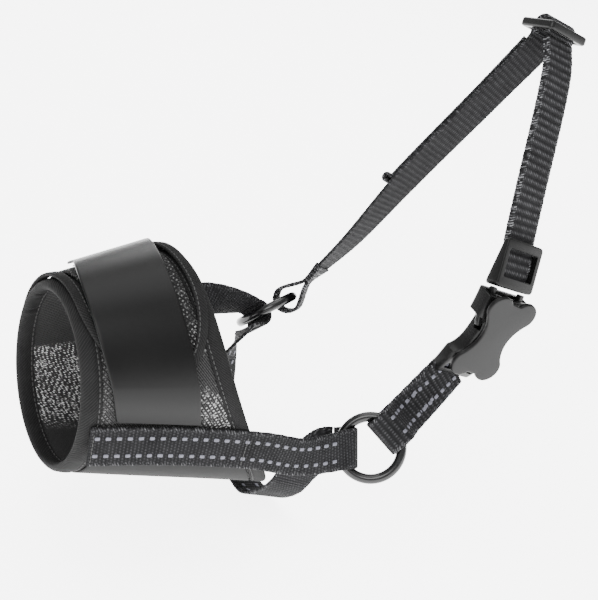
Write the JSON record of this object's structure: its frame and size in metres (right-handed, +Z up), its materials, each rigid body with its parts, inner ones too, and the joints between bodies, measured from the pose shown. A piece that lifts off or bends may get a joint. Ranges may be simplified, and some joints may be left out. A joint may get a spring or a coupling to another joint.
{
  "type": "soft dog muzzle",
  "caption": "Soft fabric dog muzzle with bound snout sleeve, wide closure strap, webbing side and throat straps, ring joints, and neck strap with side-release buckle.",
  "frame": {"origin": "middle of the snout sleeve, where the dog's snout holds the muzzle up", "axes": "+X along the sleeve toward the dog's head, +Z up, the dog's right side (the buckle side) at -Y"},
  "size_m": [0.2845, 0.14, 0.2522],
  "materials": {
    "mesh_fabric": "black padded air mesh with silver flecks",
    "twill_binding": "charcoal twill bias binding",
    "satin_strap": "smooth satin black coated strap",
    "hook_tape": "black hook-and-loop tape",
    "webbing": "black ribbed webbing with reflective stitching on the side straps",
    "black_metal": "gloss black coated metal",
    "buckle_plastic": "dark grey moulded plastic, fine matt texture"
  },
  "bodies": {
    "muzzle": {"snout_sleeve": "mesh_fabric", "front_binding": "twill_binding", "rear_binding": "twill_binding", "chin_panel": "mesh_fabric", "top_flap": "mesh_fabric", "flap_binding": "twill_binding", "flap_loop_tape": "hook_tape", "near_side_strap": "webbing", "far_side_strap": "webbing", "throat_strap": "webbing"},
    "closure": {"closure_strap": "satin_strap", "closure_hook_tape": "hook_tape"},
    "near_ring": {"near_ring": "black_metal"},
    "far_ring": {"far_ring": "black_metal"},
    "neck_anchor": {"buckle_tab": "webbing", "buckle_socket": "buckle_plastic", "bone_plate": "buckle_plastic", "far_ring_loop": "webbing"},
    "neck_strap": {"buckle_plug": "buckle_plastic", "near_neck_strap": "webbing", "slide_fold": "webbing", "far_neck_strap": "webbing", "strap_tail": "webbing"},
    "prong_left": {"release_prong_left": "buckle_plastic"},
    "prong_right": {"release_prong_right": "buckle_plastic"},
    "adjuster": {"neck_slide": "black_metal"}
  },
  "joints": [
    {"name": "closure_strap_peel", "type": "hinge", "parent": "muzzle", "child": "closure", "pos_m": [-0.01985, -0.04199, -0.01137], "axis": [0.9674, -0.2333, -0.0984], "range_deg": [0, 70]},
    {"name": "near_ring_spin", "type": "hinge", "parent": "muzzle", "child": "near_ring", "pos_m": [0.094, -0.056, -0.038], "axis": [-0.537, -0.7389, 0.407], "continuous": true},
    {"name": "far_ring_spin", "type": "hinge", "parent": "muzzle", "child": "far_ring", "pos_m": [0.098, 0.055, -0.013], "axis": [-0.262, 0.6049, 0.7519], "continuous": true},
    {"name": "neck_loop_swing", "type": "hinge", "parent": "muzzle", "child": "neck_anchor", "pos_m": [0.1037, -0.05782, -0.0285], "axis": [0.0384, 0.9766, 0.2115], "range_deg": [-3.5, 3.5]},
    {"name": "plug_release", "type": "slide", "parent": "neck_anchor", "child": "neck_strap", "axis": [0.3479, 0.0468, 0.9364], "range_m": [0, 0.024]},
    {"name": "left_prong_squeeze", "type": "hinge", "parent": "neck_strap", "child": "prong_left", "pos_m": [0.1559, -0.05517, 0.04097], "axis": [0.0135, -0.9989, 0.0449], "range_deg": [0, 7], "stiffness_Nm_per_rad": 0.05},
    {"name": "right_prong_squeeze", "type": "hinge", "parent": "neck_strap", "child": "prong_right", "pos_m": [0.17502, -0.05523, 0.03387], "axis": [-0.0135, 0.9989, -0.0449], "range_deg": [0, 7], "stiffness_Nm_per_rad": 0.05},
    {"name": "adjuster_tilt", "type": "hinge", "parent": "neck_strap", "child": "adjuster", "pos_m": [0.215, 0, 0.1535], "axis": [0.9203, -0.03, -0.3901], "range_deg": [-6, 6]}
  ],
  "couplings": [
    {"joint": "right_prong_squeeze", "follows": "left_prong_squeeze", "ratio": 1}
  ]
}
